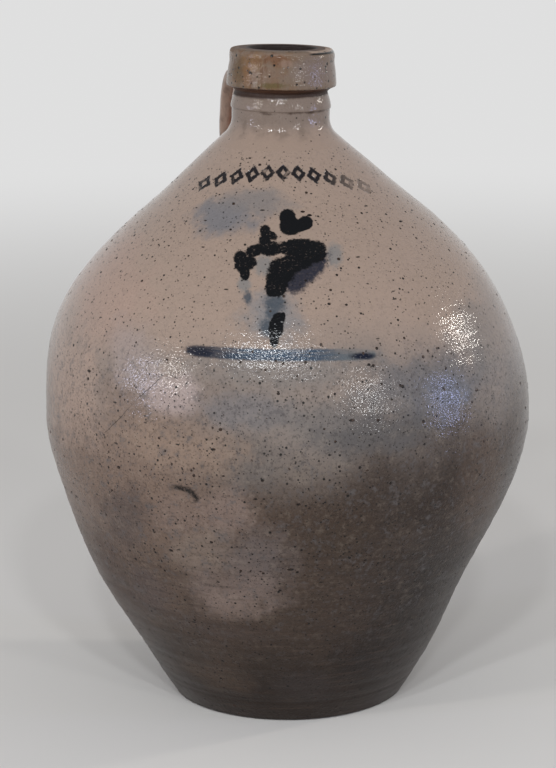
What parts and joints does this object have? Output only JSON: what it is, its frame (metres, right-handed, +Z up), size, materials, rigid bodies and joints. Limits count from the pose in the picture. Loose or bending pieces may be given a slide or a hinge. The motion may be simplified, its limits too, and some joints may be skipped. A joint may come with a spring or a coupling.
{
  "type": "stoneware crock jug",
  "caption": "Ovoid salt-glazed stoneware jug with a narrow flat foot, a beaded neck, a thick collar round an open mouth bored for a cork, and a strap handle at the back.",
  "frame": {"origin": "centre of the foot on the surface that the jug stands on", "axes": "+Z up along the jug's axis, +Y towards the strap handle, -Y towards the decorated front"},
  "size_m": [0.2888, 0.2888, 0.39],
  "materials": {
    "glazed_body": "salt-glazed stoneware, grey-brown, glossy orange-peel",
    "glazed_neck": "salt-glazed stoneware, brown with ochre flashing",
    "glazed_handle": "salt-glazed stoneware, reddish brown",
    "brown_slip": "dark brown slip glaze"
  },
  "bodies": {
    "root": {"lower_body": "glazed_body", "shoulder": "glazed_body", "neck": "glazed_neck", "collar": "glazed_neck", "strap_handle": "glazed_handle", "slip_lining": "brown_slip"}
  },
  "joints": []
}
